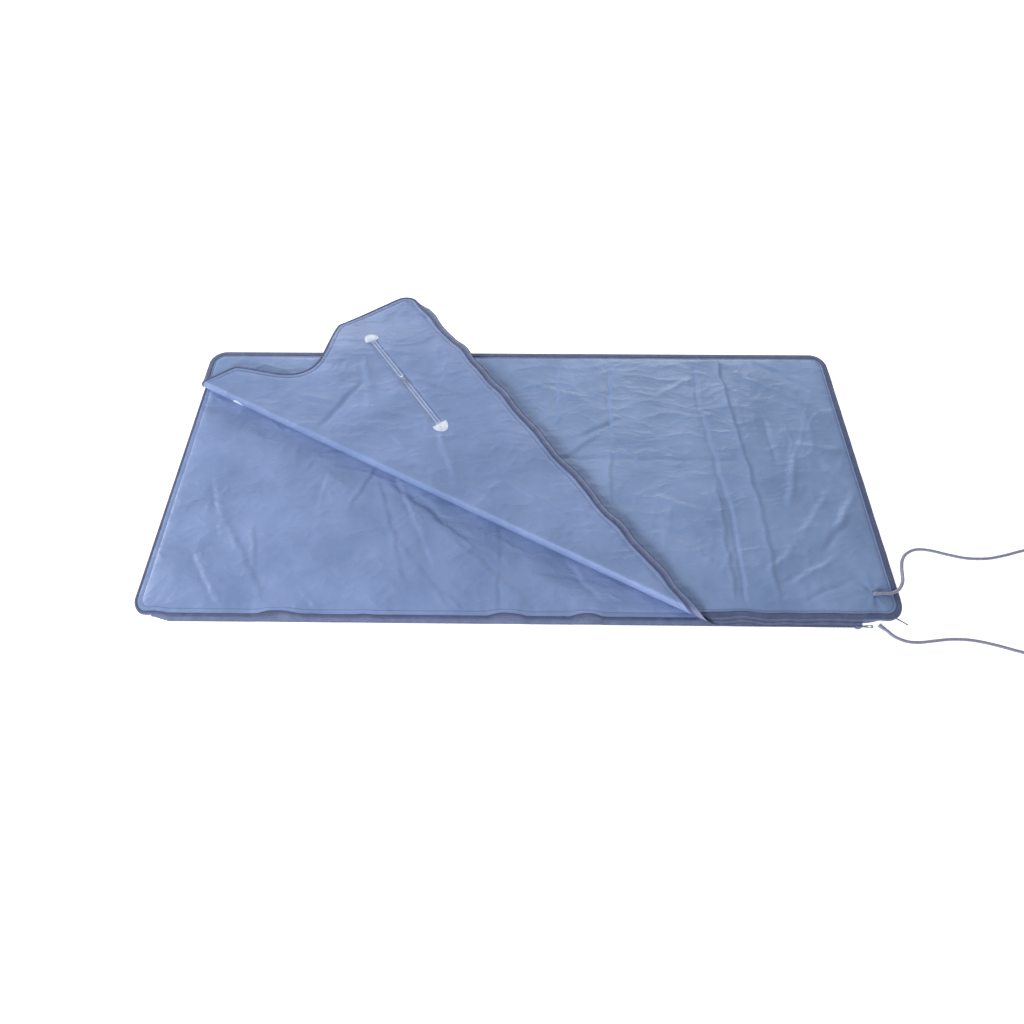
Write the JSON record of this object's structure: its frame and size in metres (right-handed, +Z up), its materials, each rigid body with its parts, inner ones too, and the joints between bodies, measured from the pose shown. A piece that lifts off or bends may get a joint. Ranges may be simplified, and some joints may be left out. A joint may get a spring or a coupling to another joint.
{
  "type": "infrared sauna blanket",
  "caption": "Quilted heated body wrap lying flat: a padded bottom panel and a cover whose near head corner is turned back, with arm zips and two low-voltage cords.",
  "frame": {"origin": "centre of the bottom panel's underside, where it lies on the floor or bed", "axes": "+X from the head edge to the foot edge, +Y from the near side to the far side, +Z up"},
  "size_m": [2.306, 1.1373, 0.0515],
  "materials": {
    "outer_nylon": "coated nylon, semi-matt",
    "inner_nylon": "nylon lining, soft sheen",
    "wadding": "polyester wadding",
    "felt": "carbon-fibre felt",
    "heating_cable": "silicone insulation",
    "binding": "woven edge tape",
    "zip_tape": "woven zip tape",
    "zip_teeth": "nylon coil",
    "tab_fabric": "white webbing patch",
    "slider_metal": "lacquered zinc die-casting",
    "sensor_plastic": "moulded plastic",
    "cord": "flexible cord jacket"
  },
  "bodies": {
    "root": {"bottom_binding": "binding", "bottom_cable_joint": "sensor_plastic", "bottom_cord": "cord", "bottom_cord_coil": "cord", "bottom_cord_plug": "sensor_plastic", "bottom_cord_sleeve": "cord", "bottom_felt": "felt", "bottom_heating_cable": "heating_cable", "bottom_lining": "inner_nylon", "bottom_shell": "outer_nylon", "bottom_temperature_sensor": "sensor_plastic", "bottom_wadding": "wadding", "bottom_zip_tape": "zip_tape", "bottom_zip_teeth": "zip_teeth", "corner_zip_tail": "zip_teeth", "cover_binding": "binding", "cover_cable_joint": "sensor_plastic", "cover_cord": "cord", "cover_cord_coil": "cord", "cover_cord_plug": "sensor_plastic", "cover_cord_sleeve": "cord", "cover_felt": "felt", "cover_heating_cable": "heating_cable", "cover_lining": "inner_nylon", "cover_shell": "outer_nylon", "cover_temperature_sensor": "sensor_plastic", "cover_wadding": "wadding", "cover_zip_tape": "zip_tape", "cover_zip_teeth": "zip_teeth", "far_arm_tab_foot": "tab_fabric", "far_arm_tab_head": "tab_fabric", "far_arm_zip_coil": "zip_teeth", "far_arm_zip_tape": "zip_tape", "fold_binding_head": "binding", "fold_binding_near": "binding", "fold_lining": "inner_nylon", "fold_shell": "outer_nylon", "fold_wadding": "wadding", "fold_zip_tape": "zip_tape", "side_joining_tape": "binding"},
    "cover_flap": {"flap_binding": "binding", "flap_felt": "felt", "flap_heating_cable": "heating_cable", "flap_lining": "inner_nylon", "flap_shell": "outer_nylon", "flap_wadding": "wadding", "flap_zip_tape": "zip_tape", "flap_zip_teeth": "zip_teeth", "near_arm_tab_foot": "tab_fabric", "near_arm_tab_head": "tab_fabric", "near_arm_zip_coil": "zip_teeth", "near_arm_zip_tape": "zip_tape"},
    "near_arm_slider": {"near_arm_slider": "slider_metal"},
    "near_arm_pull": {"near_arm_pull": "slider_metal"},
    "far_arm_slider": {"far_arm_slider": "slider_metal"},
    "side_zip_slider": {"side_zip_slider": "slider_metal"},
    "side_zip_pull": {"side_zip_pull": "slider_metal"}
  },
  "joints": [
    {"name": "fold_hinge", "type": "hinge", "parent": "root", "child": "cover_flap", "pos_m": [-0.2415, -0.0685, 0.0335], "axis": [0.8877, -0.4604, 0], "range_deg": [0, 180], "deforming": ["fold_lining", "fold_wadding", "fold_shell", "fold_binding_head", "fold_binding_near", "fold_zip_tape", "far_arm_tab_head"]},
    {"name": "near_arm_zip", "type": "slide", "parent": "cover_flap", "child": "near_arm_slider", "axis": [0.5761, -0.8174, 0], "range_m": [-0.16, 0.155]},
    {"name": "near_arm_pull_hinge", "type": "hinge", "parent": "near_arm_slider", "child": "near_arm_pull", "pos_m": [-0.3204, 0.2925, 0.0486], "axis": [0.8174, 0.5761, 0], "range_deg": [-150, 0]},
    {"name": "far_arm_zip", "type": "slide", "parent": "root", "child": "far_arm_slider", "axis": [1, 0, 0], "range_m": [-0.26, 0.07]},
    {"name": "side_zip", "type": "slide", "parent": "root", "child": "side_zip_slider", "axis": [1, 0, 0], "range_m": [-1.63, 0]},
    {"name": "side_pull_hinge", "type": "hinge", "parent": "side_zip_slider", "child": "side_zip_pull", "pos_m": [0.793, -0.4214, 0.0149], "axis": [0, 0, 1], "range_deg": [-160, 0]}
  ]
}
